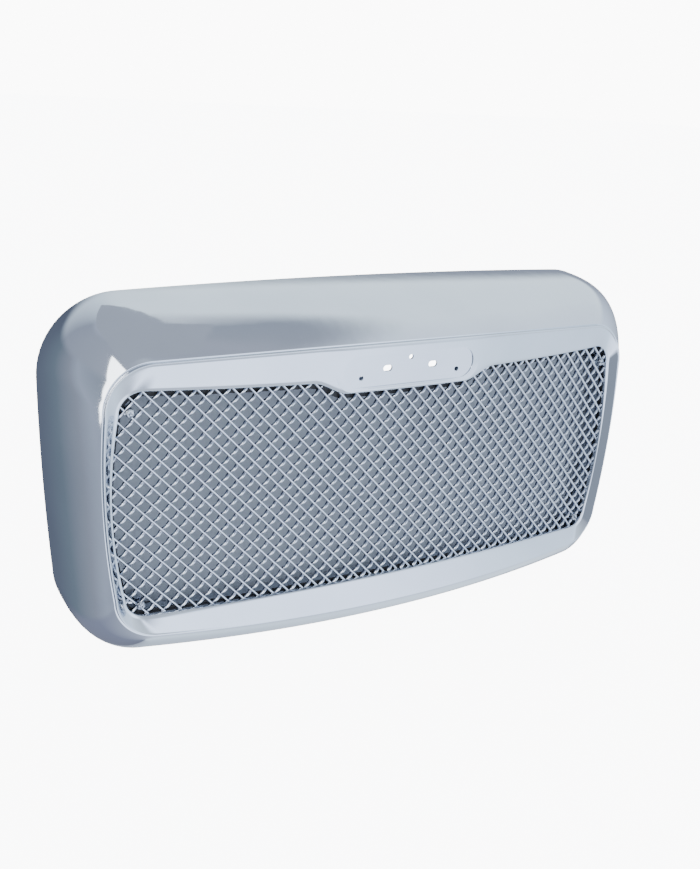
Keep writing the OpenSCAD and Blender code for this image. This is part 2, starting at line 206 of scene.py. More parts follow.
def plain(name, colour, roughness):
    """A plain matt finish for what is not part of the object."""
    material = bpy.data.materials.new(name)
    tree, shader = new_tree(material)
    shader.inputs["Base Color"].default_value = (*colour, 1)
    shader.inputs["Roughness"].default_value = roughness
    return material


def sheet(name, corners, material):
    """A flat stage piece from its corners."""
    mesh = bpy.data.meshes.new(name)
    mesh.from_pydata([tuple(c) for c in corners], [], [tuple(range(len(corners)))])
    mesh.materials.append(material)
    made = bpy.data.objects.new(name, mesh)
    scene.collection.objects.link(made)
    return made


print("stage helpers ready")

# %% The floor
FLOOR_Z = cad_box[0].z - 0.0005
REACH, FLOOR_GLOW = 30, 9.0
white_floor = plain("pale_floor", (0.9, 0.9, 0.9), 0.9)
glow = white_floor.node_tree.nodes["Principled BSDF"].inputs
glow["Emission Color"].default_value = (1, 1, 1, 1)
glow["Emission Strength"].default_value = FLOOR_GLOW
SQUARE = ((-1, -1), (1, -1), (1, 1), (-1, 1))
floor = sheet("floor", [(x * REACH, y * REACH, FLOOR_Z) for x, y in SQUARE], white_floor)
floor.visible_glossy = floor.visible_diffuse = floor.visible_transmission = False
print("floor height:", round(FLOOR_Z, 4))

# %% The painted room
# The room by compass, as colours at bearings: 0 is in front, -90 to the left and 180 behind.
UNDER = [(-180, (0.30, 0.32, 0.42)), (-100, (0.36, 0.39, 0.53)), (0, (1.0, 1.1, 1.3)),
         (115, (1.5, 1.75, 2.0)), (180, (0.6, 0.65, 0.8))]
LOW = [(-180, (0.13, 0.15, 0.21)), (-156, (0.17, 0.20, 0.27)), (-127, (0.24, 0.30, 0.37)),
       (-101, (0.43, 0.47, 0.57)), (-88, (0.60, 0.67, 0.83)), (-60, (0.44, 0.50, 0.60)),
       (-14, (0.44, 0.50, 0.60)), (-2, (2.6, 2.9, 3.5)), (25, (2.5, 2.8, 3.4)), (50, (1.6, 1.9, 2.25)),
       (90, (1.3, 1.5, 1.8)), (125, (0.5, 0.56, 0.7)), (180, (0.13, 0.15, 0.21))]
HIGH = [(-180, (1.2, 1.4, 1.6)), (-130, (0.5, 0.55, 0.68)), (-40, (0.62, 0.67, 0.80)),
        (20, (1.1, 1.25, 1.4)), (75, (1.5, 1.7, 1.95)), (100, (1.7, 1.94, 2.1)),
        (160, (1.65, 1.9, 2.05)), (180, (1.2, 1.4, 1.6))]
OVER = [(-180, (0.9, 1.0, 1.2)), (-40, (0.55, 0.6, 0.75)), (40, (0.62, 0.67, 0.80)),
        (70, (0.55, 0.6, 0.72)), (115, (0.52, 0.58, 0.70)), (150, (1.3, 1.45, 1.6)),
        (180, (0.9, 1.0, 1.2))]
PEAK = 4.0
BACKDROP = (2.6, 2.6, 2.6, 1)


def by_compass(bearing, table):
    """Colour of the room at a bearing, which runs from 0 to 1 over the whole circle."""
    stops = [((b + 180) / 360, (*[c / PEAK for c in colour], 1)) for b, colour in table]
    return bearing.add("ShaderNodeValToRGB", {"stops": stops}, {"Fac": bearing})


world = bpy.data.worlds.new("studio_room")
scene.world = world
world.use_nodes = True
world.node_tree.nodes.clear()
way = Signal(world.node_tree.nodes.new("ShaderNodeTexCoord").outputs["Generated"])
bearing = way.sum("ARCTAN2", way.part(0), way.part(1) * -1) / (2 * math.pi) + 0.5
rise = way.part(2)
room = by_compass(bearing, UNDER)
# each table takes over between two heights, from -1 straight down to 1 straight up
for table, low, high in ((LOW, -0.72, -0.55), (HIGH, 0.3, 0.48), (OVER, 0.84, 0.93)):
    room = way.add("ShaderNodeMix", {"data_type": "RGBA"},
                   {0: rise.band(low, high), 6: room, 7: by_compass(bearing, table)}, out=2)
seen = way.add("ShaderNodeLightPath", out=0)
light = way.add("ShaderNodeMix", {"data_type": "RGBA"}, {0: seen, 6: room, 7: BACKDROP}, out=2)
back = way.add("ShaderNodeBackground", inputs={"Color": light, "Strength": PEAK})
back.add("ShaderNodeOutputWorld", inputs={"Surface": back})
print("tables:", [len(table) for table in (UNDER, LOW, HIGH, OVER)])

# %% Two glowing cards

def card(name, corners, colour):
    """A glowing studio card, seen only in reflections."""
    finish = plain(name, (0, 0, 0), 1.0)
    inputs = finish.node_tree.nodes["Principled BSDF"].inputs
    inputs["Specular IOR Level"].default_value = 0
    inputs["Emission Color"].default_value = (*[c / PEAK for c in colour], 1)
    inputs["Emission Strength"].default_value = PEAK
    made = sheet(name, corners, finish)
    made.visible_camera = made.visible_diffuse = made.visible_shadow = False
    return made


OVERHEAD = [(-0.41, 1.46, 1.6), (0.0, 1.23, 1.76), (0.02, 0.79, 2.02), (0.02, 0.31, 2.18),
            (0.19, 0.2, 2.17), (-0.07, -0.8, 2.11), (-0.25, -0.91, 2.08), (-1.37, -1.27, 1.59),
            (-1.42, -0.81, 1.85), (-1.24, 0.37, 2.05)]
FRONT_LEFT = [(-1.55, -0.94, 1.69), (-2.01, -1.13, 1.0), (-2.32, -0.9, 0.31), (-2.4, -0.35, -0.39),
              (-2.2, -1.1, -0.2), (-1.75, -1.7, 0.3), (-1.36, -1.75, 0.9), (-1.36, -1.54, 1.31)]
card("overhead_card", OVERHEAD, (0.62, 0.68, 0.80))
card("front_left_card", FRONT_LEFT, (7, 7, 7))
print("card corners:", len(OVERHEAD), len(FRONT_LEFT))

# %% [markdown]
# ## The surround
#
# The surround is one deep moulding, plated all over. Its front face is bowed, its opening
# flares at the corners, and its flank swells back to a larger rear edge. It could be
# sculpted, or smoothed from a cage, but every section of it follows a rule: an outline with
# crowned edges and round corners, set at a depth that follows the bow. So the skin is lofted
# from outlines, close enough together that the plating reflects without facets, and the edges
# along the front, from the opening to the start of the flank, are turned with a small radius, as a mould tool
# is.

# %% The surround's sizes, in millimetres
BOW_R, DEPTH = 2670.0, 178.0
OPEN_H, TUBE_DEPTH, WALL = 173.5, 36.0, 3.2
REAR_Y, FLANGE_T, REAR_FLANGE, TUBE_FLANGE = -4.0, 3.0, 16.0, 26.0
RECESS_L, RECESS_H, RECESS_Z, RECESS_FLOOR = 240.0, 52.0, 188.5, 5.5
CREST_BACK, TOP_BLEND = 6.0, 90
# where the lip, bezel, crest, its rear edge and the flank begin; less than 0 is before the lattice
LIP_AT, BEZEL_AT, CREST_AT, STEP_AT, SHELL_FRONT = -7, -15, -17, -10.8, -13

# half width at the top, at the bottom, swell of the sides, top, bottom, crown of each,
# corner radius of each, drop of the pad
OPENING = np.array([448, 446, 19, OPEN_H, -OPEN_H, -7, -7, 36, 28, 20], float)
CREST = np.array([466, 455.9, 19, 231.5, -219.5, 13, 13, 76, 64, 0], float)
REAR = np.array([534, 518, 10, 300.5, -285, 11, 22, 125, 125, 0], float)
print("rear edge, width and height:", REAR[0] * 2, REAR[3] - REAR[4])

# %% The rules of an outline
# the pad's edge is level over a share of the recess's length and rises over another
PAD_LEVEL, PAD_RISE = 0.45, 0.25


def bow(x):
    return BOW_R - np.sqrt(BOW_R**2 - x**2)


def ease(t):
    u = np.clip(t, 0, 1)
    return u * u * (3 - 2 * u)


def between(a, b, sides, top, bottom, corners):
    """An outline between two others, with a share for each of its parts."""
    shares = [sides, sides, sides, top, bottom, top, bottom, corners, corners, top]
    return a + (b - a) * np.array(shares)


def grown(a, d):
    """The same outline moved outwards by d."""
    more = a + np.array([d, d, 0, d, -d, 0, 0, d, d, 0])
    more[7:9] = np.maximum(more[7:9], 4)
    return more


def top_z(a, x):
    pad = 1 - ease((np.abs(x) - RECESS_L * PAD_LEVEL) / (RECESS_L * PAD_RISE))
    return a[3] - a[5] * (x / a[0])**2 - a[9] * pad


def bottom_z(a, x):
    return a[4] + a[6] * (x / a[1])**2


def side_x(a, z):
    v = (a[3] - z) / (a[3] - a[4])
    return a[0] + (a[1] - a[0]) * v + a[2] * 4 * v * (1 - v)


print("half width of the opening at mid height:", side_x(OPENING, 0))

# %% Points round an outline
COLUMNS = {"pad": 60, "top": 44, "corner": 18, "side": 34, "bottom": 60}


def outline(a):
    """Points round an outline, clockwise from the middle of the top, as x and z."""
    cx = side_x(a, a[3] - a[5] - a[7]) - a[7]
    ct = np.array([cx, top_z(a, cx) - a[7]])
    dx = side_x(a, a[4] + a[6] + a[8]) - a[8]
    cb = np.array([dx, bottom_z(a, dx) + a[8]])
    pad_end = RECESS_L * 0.74
    x = np.concatenate([np.linspace(0, pad_end, COLUMNS["pad"], endpoint=False),
                        np.linspace(pad_end, ct[0], COLUMNS["top"])])
    parts = [np.stack([x, top_z(a, x)], 1)]
    g = np.radians(np.linspace(90, 0, COLUMNS["corner"] + 1)[1:])
    parts.append(ct + a[7] * np.stack([np.cos(g), np.sin(g)], 1))
    v = np.linspace(0, 1, COLUMNS["side"] + 1)[1:-1]
    z = ct[1] + (cb[1] - ct[1]) * v
    swell = side_x(a, z) - (side_x(a, ct[1]) + (side_x(a, cb[1]) - side_x(a, ct[1])) * v)
    straight = ct[0] + a[7] + (cb[0] + a[8] - ct[0] - a[7]) * v
    parts.append(np.stack([straight + swell, z], 1))
    g = np.radians(np.linspace(0, -90, COLUMNS["corner"] + 1))
    parts.append(cb + a[8] * np.stack([np.cos(g), np.sin(g)], 1))
    x = cb[0] * (1 - np.linspace(0, 1, COLUMNS["bottom"] // 2 + 1)[1:])
    parts.append(np.stack([x, bottom_z(a, x)], 1))
    half = np.concatenate(parts)
    return np.concatenate([half, half[-2:0:-1] * [-1, 1]])


print("points round one outline:", len(outline(OPENING)))


# %% Sections of the moulding
def ring(a, d, top_back=0.0, side_back=0.0):
    """An outline set d behind the lattice's front, which follows the bow."""
    p = outline(a)
    at_side = ease((np.abs(p[:, 0]) - a[0] + 45) / 40)
    at_top = ease((p[:, 1] - a[3] + TOP_BLEND) / TOP_BLEND)
    y = -DEPTH + bow(p[:, 0]) + d + top_back * at_top + side_back * at_side
    return np.stack([p[:, 0], y, p[:, 1]], 1)


def flat_ring(a, y):
    p = outline(a)
    return np.stack([p[:, 0], np.full(len(p), y), p[:, 1]], 1)


def shell_ring(t, inset=0.0, y_in=0.0, rear=REAR_Y):
    """A section of the flank: t is 0 at the crest and 1 at the rear edge."""
    flank, chin = 0.3 * t + 0.7 * (1 - (1 - t)**3), 0.2 * t + 0.8 * (1 - (1 - t)**6)
    a = grown(between(CREST, REAR, flank, flank, chin, t**1.3), (1 - t) * (0.4 + 3 * t) - inset)
    p = outline(a)
    front = -DEPTH + bow(p[:, 0]) + SHELL_FRONT + y_in
    at_top = ease((p[:, 1] - a[3] + TOP_BLEND) / TOP_BLEND)
    y = front + (rear - front) * t + CREST_BACK * (1 - t) * at_top
    return np.stack([p[:, 0], y, p[:, 1]], 1)


TUBE_EDGE = grown(OPENING, TUBE_FLANGE) + [0, 0, 0, 0, 0, 0, 0, 0, 0, TUBE_FLANGE - 13]
BEZEL = between(OPENING, CREST, 0.8, 0.92, 0.9, 0.9)
LIP = between(OPENING, CREST, 0.25, 0.12, 0.2, 0.15)
print("half width of lip, bezel and crest:", [round(float(a[0]), 1) for a in (LIP, BEZEL, CREST)])


# %% Turned edges
def turned(rings):
    """Rings with every edge that has a radius turned into a short arc of sections."""
    made = []
    for k, (points, radius, steps) in enumerate(rings):
        if not radius:
            made.append(points)
            continue
        before, after = rings[k - 1][0] - points, rings[k + 1][0] - points
        reach = [np.linalg.norm(v, axis=1, keepdims=True) for v in (before, after)]
        a = points + before / reach[0] * np.minimum(radius, reach[0] * 0.48)
        b = points + after / reach[1] * np.minimum(radius, reach[1] * 0.48)
        for t in np.linspace(0, 1, steps):
            made.append(a * (1 - t)**2 + points * 2 * t * (1 - t) + b * t**2)
    return made


def spread(a, b, count):
    """Straight sections between two rings, ends left out."""
    return [(a + (b - a) * t, 0, 0) for t in np.linspace(0, 1, count + 2)[1:-1]]


print("edge helpers ready")

# %% The sections in order
# each entry is a ring, the radius that its edge is turned with, and the steps of that arc
lip_ring, bezel_ring = ring(LIP, LIP_AT, 1, 3.5), ring(BEZEL, BEZEL_AT, CREST_BACK)
shell = [0.012 + 0.988 * t**1.5 for t in np.linspace(0, 1, 48)]
outside = [(ring(OPENING, TUBE_DEPTH), 0, 0), *spread(ring(OPENING, TUBE_DEPTH), ring(OPENING, -1), 5),
           (ring(OPENING, -1), 1.6, 4), (ring(grown(OPENING, 1), -4, 0, 2), 1.4, 4), (lip_ring, 3.0, 5),
           *spread(lip_ring, bezel_ring, 5), (bezel_ring, 1.2, 4),
           (ring(CREST, CREST_AT, CREST_BACK), 1.8, 6),
           (ring(grown(CREST, 0.2), STEP_AT, CREST_BACK), 0.8, 4),
           (shell_ring(shell[0]), 0.8, 3),
           *[(shell_ring(t), 0, 0) for t in shell[1:]]]
inside = [(flat_ring(grown(REAR, -REAR_FLANGE), REAR_Y), 0, 0),
          (flat_ring(grown(REAR, -REAR_FLANGE), REAR_Y - FLANGE_T), 0, 0),
          *[(shell_ring(t, WALL, WALL, REAR_Y - FLANGE_T if t == 1 else REAR_Y), 0, 0)
            for t in (1, 0.75, 0.55, 0.4, 0.28, 0.18, 0.1, 0.04)],
          (ring(BEZEL, BEZEL_AT + WALL + 1, CREST_BACK), 0, 0),
          (ring(LIP, -4 + WALL), 0, 0), (ring(grown(OPENING, WALL), WALL), 0, 0),
          (ring(grown(OPENING, WALL), TUBE_DEPTH - FLANGE_T), 0, 0),
          (ring(TUBE_EDGE, TUBE_DEPTH - FLANGE_T), 0, 0), (ring(TUBE_EDGE, TUBE_DEPTH), 0, 0)]
sections = turned(outside + inside)
print("sections outside, inside and in all:", len(outside), len(inside), len(sections))


# %% The lofted skin
def lofted(name, rings):
    """A closed skin through a loop of rings, in metres, faces outwards."""
    n, m = len(rings[0]), len(rings)
    i, j = np.meshgrid(np.arange(n), np.arange(m))
    a, b = j * n + i, j * n + (i + 1) % n
    c, d = (j + 1) % m * n + (i + 1) % n, (j + 1) % m * n + i
    faces = np.stack([a, b, c, d], -1).reshape(-1, 4)
    mesh = bpy.data.meshes.new(name)
    mesh.from_pydata((np.concatenate(rings) * MM).tolist(), [], faces.tolist())
    made = bpy.data.objects.new(name, mesh)
    scene.collection.objects.link(made)
    return made


surround = lofted("chromed_surround", sections)
print("faces:", len(surround.data.polygons))

# %% [markdown]
# ## The lattice
#
# The lattice looks like crimped bars laid across each other, though it is one moulding. The
# bars that fall to the right run nearly straight in front, and the bars that rise to the
# right dip behind each crossing and swell forward between two. The bars could be placed by
# hand, but a geometry tree does it from a few sizes: one bar line, repeated along the
# opening, cut to the outline, waved, bowed and given a section. Changing a size remakes it.


# %% Geometry trees
def new_geometry_tree(name, sizes):
    """A geometry tree with named number inputs and a material input."""
    tree = bpy.data.node_groups.new(name, "GeometryNodeTree")
    for label, value in sizes.items():
        socket = tree.interface.new_socket(label, in_out="INPUT", socket_type="NodeSocketFloat")
        socket.default_value = value
    tree.interface.new_socket("Finish", in_out="INPUT", socket_type="NodeSocketMaterial")
    tree.interface.new_socket("Geometry", in_out="OUTPUT", socket_type="NodeSocketGeometry")
    entry = tree.nodes.new("NodeGroupInput")
    return tree, {s.name: Signal(s) for s in entry.outputs if s.name}


def grow(name, tree, finish, sizes=()):
    """Runs a geometry tree and keeps its result as a plain mesh at the origin."""
    host = bpy.data.objects.new(name, bpy.data.meshes.new(name))
    scene.collection.objects.link(host)
    modifier = host.modifiers.new("grow", "NODES")
    modifier.node_group = tree
    for item in tree.interface.items_tree:
        if item.in_out == "INPUT" and item.name == "Finish":
            modifier[item.identifier] = finish
        elif item.in_out == "INPUT" and item.name in dict(sizes):
            modifier[item.identifier] = dict(sizes)[item.name]
    seen_now = host.evaluated_get(bpy.context.evaluated_depsgraph_get())
    mesh = bpy.data.meshes.new_from_object(seen_now)
    bpy.data.objects.remove(host)
    made = bpy.data.objects.new(name, mesh)
    scene.collection.objects.link(made)
    return made


print("tree helpers ready")

# %% The lattice's sizes
CELL_W, CELL_H = 25.4, 27.3
CROSSINGS, STEPS, LINES = 28, 6, 53
SCREW_SPOTS = [(438, 148), (428.5, -162)]
BAR_SPARE, BAR_INSET = 1.6, 1.8
EIGHTH = math.pi / 8
LATTICE_SIZES = {"Cell Width": CELL_W * MM, "Cell Height": CELL_H * MM, "Bar Width": 3.9 * MM,
                 "Bar Depth": 6.4 * MM, "Front Wave": 0.3 * MM, "Back Wave": 1.3 * MM,
                 "Bow Radius": BOW_R * MM, "Half Height": OPEN_H * MM}
lattice_tree, size = new_geometry_tree("crimped_lattice", LATTICE_SIZES)
print("diamonds across the opening:", round(2 * side_x(OPENING, 0) / CELL_W, 1))


# %% Where a bar is kept
def vector(x, y, z):
    """A vector of three values, at least one of them a signal."""
    near = next(value for value in (x, y, z) if isinstance(value, Signal))
    return near.add("ShaderNodeCombineXYZ", inputs={0: x, 1: y, 2: z})


def kept(x, z, spare, round_screw):
    """1 where a bar lies inside the opening, clear of the corner screws."""
    a = [float(v) for v in OPENING]
    ax, v = abs(x), (a[3] * MM - z) / ((a[3] - a[4]) * MM)
    side = (a[0] + spare) * MM + (a[1] - a[0]) * MM * v + a[2] * MM * 4 * v * (1 - v)
    pad = 1 - ((ax / MM - RECESS_L * PAD_LEVEL) / (RECESS_L * PAD_RISE)).band(0.0, 1.0)
    top = (a[3] + spare) * MM - a[5] * MM * (ax / (a[0] * MM))**2 - a[9] * MM * pad
    low = (a[4] - spare) * MM + a[6] * MM * (ax / (a[1] * MM))**2
    inside = ax.below(side) * z.below(top) * z.above(low)
    for up_down, radius, level_z in ((1, a[7], a[3] - a[5] - a[7]), (-1, a[8], a[4] + a[6] + a[8])):
        cx = float(side_x(OPENING, level_z)) - radius
        if up_down > 0:
            cz = float(top_z(OPENING, cx)) - radius
        else:
            cz = float(bottom_z(OPENING, cx)) + radius
        dx, dz = ax - cx * MM, (z - cz * MM) * up_down
        past = dx.above(0.0) * dz.above(0.0) * (dx * dx + dz * dz).above(((radius + spare) * MM)**2)
        inside = inside * (1 - past)
    for sx, sz in SCREW_SPOTS:
        gap = (ax - sx * MM)**2 + (z - sz * MM)**2
        inside = inside * gap.above((round_screw * MM)**2)
    return inside


print("screw spots:", SCREW_SPOTS)


# %% One family of bars
def bars(way_x, wave, swelling, round_screw):
    """One family of parallel bars: way_x is the side that they lean to."""
    half = size["Cell Height"] * (CROSSINGS / 4)
    lean = half * size["Cell Width"] / size["Cell Height"] * way_x
    line = half.add("GeometryNodeCurvePrimitiveLine", {"mode": "POINTS"},
                    {"Start": vector(lean * -1, 0.0, half * -1), "End": vector(lean, 0.0, half)})
    line = line.add("GeometryNodeResampleCurve", inputs={"Curve": line, "Count": CROSSINGS * STEPS + 1})
    row = line.add("GeometryNodeMeshLine", {"mode": "OFFSET"}, {
        "Count": LINES, "Start Location": vector(size["Cell Width"] * (-(LINES - 1) / 2), 0.0, 0.0),
        "Offset": vector(size["Cell Width"], 0.0, 0.0)})
    many = line.add("GeometryNodeInstanceOnPoints", inputs={"Points": row, "Instance": line})
    many = many.add("GeometryNodeRealizeInstances", inputs={0: many})
    place = many.add("GeometryNodeInputPosition")
    x, z = place.part(0), place.part(2)
    many = many.add("GeometryNodeDeleteGeometry", {"domain": "POINT"},
                    {"Geometry": many, "Selection": 1 - kept(x, z, BAR_SPARE, round_screw)})
    turn = z / size["Cell Height"] * (4 * math.pi)
    depth = turn.sum("COSINE", turn) * wave
    set_back = size["Bow Radius"] - (size["Bow Radius"]**2 - x**2)**0.5
    y = set_back + depth - DEPTH * MM + size["Bar Depth"] / 2 + BAR_INSET * MM
    many = many.add("GeometryNodeSetPosition", inputs={"Geometry": many, "Position": vector(x, y, z)})
    many = many.add("GeometryNodeSetCurveNormal", {"mode": "Z_UP"}, {"Curve": many})
    swell = 1 + (0.5 - turn.sum("COSINE", turn) * 0.5) * swelling - swelling * 0.45
    many = many.add("GeometryNodeSetCurveRadius", inputs={"Curve": many, "Radius": swell})
    many = many.add("GeometryNodeStoreNamedAttribute", {"data_type": "FLOAT", "domain": "POINT"},
                    {"Geometry": many, "Name": "rising", "Value": 1.0 if way_x > 0 else 0.0})
    section = many.add("GeometryNodeCurvePrimitiveCircle", inputs={"Resolution": 8, "Radius": 0.5})
    section = section.add("GeometryNodeTransform", inputs={
        "Geometry": section, "Rotation": (0.0, 0.0, EIGHTH),
        "Scale": vector(size["Bar Depth"], size["Bar Width"] * 1.04, 1.0)})
    return many.add("GeometryNodeCurveToMesh",
                    inputs={"Curve": many, "Profile Curve": section, "Fill Caps": True})


print("lines each way:", LINES)

# %% Both families together
front_bars = bars(-1, size["Front Wave"] * -1, swelling=0.0, round_screw=9.0)
back_bars = bars(1, size["Back Wave"], swelling=0.6, round_screw=13.5)
both = front_bars.add("GeometryNodeJoinGeometry")
for family in (front_bars, back_bars):
    lattice_tree.links.new(family.socket, both.socket.node.inputs[0])
smooth = both.add("GeometryNodeSetShadeSmooth", inputs={"Geometry": both})
whole = smooth.add("GeometryNodeRealizeInstances", inputs={0: smooth})
finished = whole.add("GeometryNodeSetMaterial", inputs={"Geometry": whole, "Material": size["Finish"]})
finished.add("NodeGroupOutput", inputs={"Geometry": finished})
print("nodes in the lattice's tree:", len(lattice_tree.nodes))

# %% [markdown]
# ## Chrome plating
#
# Plating is a mirror with a faint blue cast. Up close it is never perfect: the moulding
# under it has a slight ripple, handling leaves fine scratches, and dust settles on it. A
# single smooth mirror would look computed, so one recipe gives both plated pieces clouds and
# dust, each piece gets a ripple that suits its size, and the surround gets the scratches.
# Each could be painted by hand instead, but noise needs no seams. On the lattice, shade is painted into
# the plating's colour: it darkens on the sides of the bars away from the front, and in the dips of the
# rising bars at each crossing, where the bars shade each other.


# %% Helpers for a finish
def noise(near, scale, detail=2.0, rough=0.5):
    return near.add("ShaderNodeTexNoise", inputs={
        "Vector": near, "Scale": scale, "Detail": detail, "Roughness": rough})


def blend(share, a, b):
    """A colour between two, by a share."""
    return share.add("ShaderNodeMix", {"data_type": "RGBA"}, {0: share, 6: a, 7: b}, out=2)


def colour(r, g, b):
    return (r, g, b, 1.0)


def object_place(tree):
    return Signal(tree.nodes.new("ShaderNodeTexCoord").outputs["Object"])


def feed(shader, **links):
    """Feeds a shader's sockets; an underscore in a name stands for a space."""
    for name, value in links.items():
        socket = shader.inputs[name.replace("_", " ")]
        if isinstance(value, Signal):
            value.tree.links.new(value.socket, socket)
        else:
            socket.default_value = value


def bump(height, distance, strength=1.0):
    return height.add("ShaderNodeBump", inputs={
        "Height": height, "Distance": distance, "Strength": strength})


print("finish helpers ready")


# %% Chrome
def behind_front(place):
    """How far a point lies behind the bowed front of the lattice, in millimetres."""
    x, y = place.part(0) / MM, place.part(1) / MM
    return y + DEPTH - (BOW_R - (BOW_R**2 - x**2)**0.5)


def chrome(name, bright, dull):
    """What both platings share: a tone that clouds and dust take from bright to dull."""
    material = bpy.data.materials.new(name)
    tree, shader = new_tree(material)
    place = object_place(tree)
    cloud = noise(place, 9.0, 3.0)
    dust = noise(place, 420.0, 3.0, 0.7).band(0.66, 0.74) * noise(place, 14.0).band(0.45, 0.7)
    tone = blend(cloud.band(0.35, 0.75) * 0.25 + dust * 0.35, bright, dull)
    return material, shader, place, cloud, dust, tone


def surround_chrome():
    material, shader, place, cloud, dust, tone = chrome(
        "surround_chrome", colour(0.60, 0.64, 0.70), colour(0.47, 0.51, 0.57))
    scratches = place.add("ShaderNodeMapping", inputs={
        "Vector": place, "Scale": (60.0, 400.0, 2600.0), "Rotation": (0.2, 0.05, 0.3)})
    fine = noise(scratches, 1.0, 2.0).band(0.62, 0.72)
    feed(shader, Base_Color=tone, Metallic=1.0,
         Roughness=0.045 + cloud * 0.03 + fine * 0.05 + dust * 0.3,
         Normal=bump(noise(place, 34.0, 1.0) + fine * 0.02 + dust * 0.1, 0.00012))
    return material


def lattice_chrome():
    material, shader, place, cloud, dust, tone = chrome(
        "lattice_chrome", colour(0.62, 0.66, 0.72), colour(0.45, 0.49, 0.56))
    deep = behind_front(place)
    turn = place.part(2) / (CELL_H * MM) * (4 * math.pi)
    dip = (turn.sum("COSINE", turn) * 0.5 + 0.5).band(0.12, 0.5)
    rising = place.add("ShaderNodeAttribute", {"attribute_name": "rising"}, out=2)
    # painted shade: darker towards a dark navy on the sides of the bars away from the front, and in the dips
    # of the rising bars at each crossing
    shade = deep.band(3.2, 6.0) * 0.85 + dip * rising * 0.6
    dark = blend(shade.sum("MINIMUM", shade, 1.0), tone, colour(0.10, 0.12, 0.19))
    feed(shader, Base_Color=dark, Metallic=1.0, Roughness=0.12 + cloud * 0.08 + dust * 0.3,
         Normal=bump(noise(place, 260.0, 2.0), 0.0002))
    return material


print("plating ready")

# %% [markdown]
# ## Cutting the emblem recess
#
# Above the lattice the bezel drops into a pad, and a shallow round-ended recess in the pad
# takes an emblem: two slots and three pin holes go right through the wall. A recess could be
# pressed in by moving points, but its edge would then follow the loft's grid. A boolean cut
# with a slightly flared cutter gives a crisp rim and walls with a little draft. A plug is
# welded on behind first, so that the wall keeps its thickness under the recess.

# %% The recess and its holes
SLOT_PITCH, SLOT_L, SLOT_H, SLOT_Z = 83.2, 16.0, 10.0, 190.2
PIN_R, PINS = 4.0, [(-88.2, 177.8), (88.2, 177.8), (0.0, 205.3)]


def round_ended(length, height, at_x, at_z, arc=20):
    """A flat shape with two round ends, as points clockwise."""
    r, half = height / 2, (length - height) / 2
    g = np.radians(np.linspace(90, -90, arc))
    end = np.stack([half + r * np.cos(g), r * np.sin(g)], 1)
    return np.concatenate([end, -end]) + [at_x, at_z]


def plug(name, levels):
    """A closed solid through flat shapes at depths behind the lattice's front, on the bow."""
    rings = [np.stack([p[:, 0], -DEPTH + bow(p[:, 0]) + d, p[:, 1]], 1) for d, p in levels]
    made = lofted(name, rings)
    mesh, n = made.data, len(rings[0])
    faces = [list(f.vertices) for f in mesh.polygons][:(len(rings) - 1) * n]
    faces += [list(range(n))[::-1], [(len(rings) - 1) * n + k for k in range(n)]]
    points = [tuple(v.co) for v in mesh.vertices]
    mesh.clear_geometry()
    mesh.from_pydata(points, [], faces)
    mesh.validate()
    return made


print("recess, slots and pin holes:", 1 + 2 + len(PINS))

# %% The cutters
CUT_REACH, ARC_POINTS, PIN_POINTS = 20, 28, 14
cutters = [plug("recess_cutter", [
    (d, round_ended(RECESS_L + 2 * more, RECESS_H + 2 * more, 0, RECESS_Z, ARC_POINTS))
    for d, more in ((-40, 2.0), (-RECESS_FLOOR, -0.5))])]
for sign in (-1, 1):
    shape = round_ended(SLOT_L, SLOT_H, sign * SLOT_PITCH / 2, SLOT_Z)
    cutters.append(plug("slot_cutter", [(-CUT_REACH, shape), (CUT_REACH, shape)]))
for x, z in PINS:
    shape = round_ended(2 * PIN_R + 0.01, 2 * PIN_R, x, z, PIN_POINTS)
    cutters.append(plug("pin_cutter", [(-CUT_REACH, shape), (CUT_REACH, shape)]))
print("cutters:", len(cutters))


# %% The cut
def carve(piece, tools, operation="DIFFERENCE"):
    """Cuts tools out of a piece, or welds them on, and throws the tools away."""
    for tool in tools:
        modifier = piece.modifiers.new("carve", "BOOLEAN")
        modifier.operation, modifier.solver, modifier.object = operation, "EXACT", tool
    done = piece.evaluated_get(bpy.context.evaluated_depsgraph_get())
    mesh = bpy.data.meshes.new_from_object(done)
    piece.modifiers.clear()
    piece.data = mesh
    for tool in tools:
        bpy.data.objects.remove(tool)


back_shape = round_ended(RECESS_L + 22, RECESS_H + 7, 0, RECESS_Z - 2, ARC_POINTS)
pad_back = plug("pad_back", [(d, back_shape) for d in (-6.77, WALL - RECESS_FLOOR)])
before = len(surround.data.polygons)
carve(surround, [pad_back], "UNION")
carve(surround, cutters)
print("faces before and after the cut:", before, len(surround.data.polygons))

# %% [markdown]
# ## Posts and bosses at the back of the surround
#
# A moulding this thin is stiffened where something is screwed to it. Four posts stand behind
# the lattice's screws, each with a web out to the wall, and eight bosses take the bracket
# feet. They could be separate pieces pushed into the skin, but the real ones are moulded in
# one with it, so they are welded on by a boolean and then drilled.

# %% Posts, bosses and their holes
POST_R, POST_FRONT, PILOT_R = 7.0, 11.8, 2.1
BOSS_R, BOSS_BACK, BOSS_PITCH, MOUNT_X = 6.0, -112.0, 30.0, 600.0
BOSS_Z = OPEN_H + 7 * (MOUNT_X / 2 / 448)**2 + TUBE_FLANGE - BOSS_R - 0.5
FOUR = [(sx, sz) for sx in (-1, 1) for sz in (-1, 1)]
screw_places = [(sx * x, z) for x, z in SCREW_SPOTS for sx in (-1, 1)]
boss_places = [(sx * MOUNT_X / 2 + i * BOSS_PITCH / 2, sz * BOSS_Z) for sx, sz in FOUR for i in (-1, 1)]
DRILL_POINTS = 12


def round_shape(radius, x, z, count=20):
    g = np.radians(np.linspace(90, -270, count, endpoint=False))
    return np.stack([radius * np.cos(g), radius * np.sin(g)], 1) + [x, z]


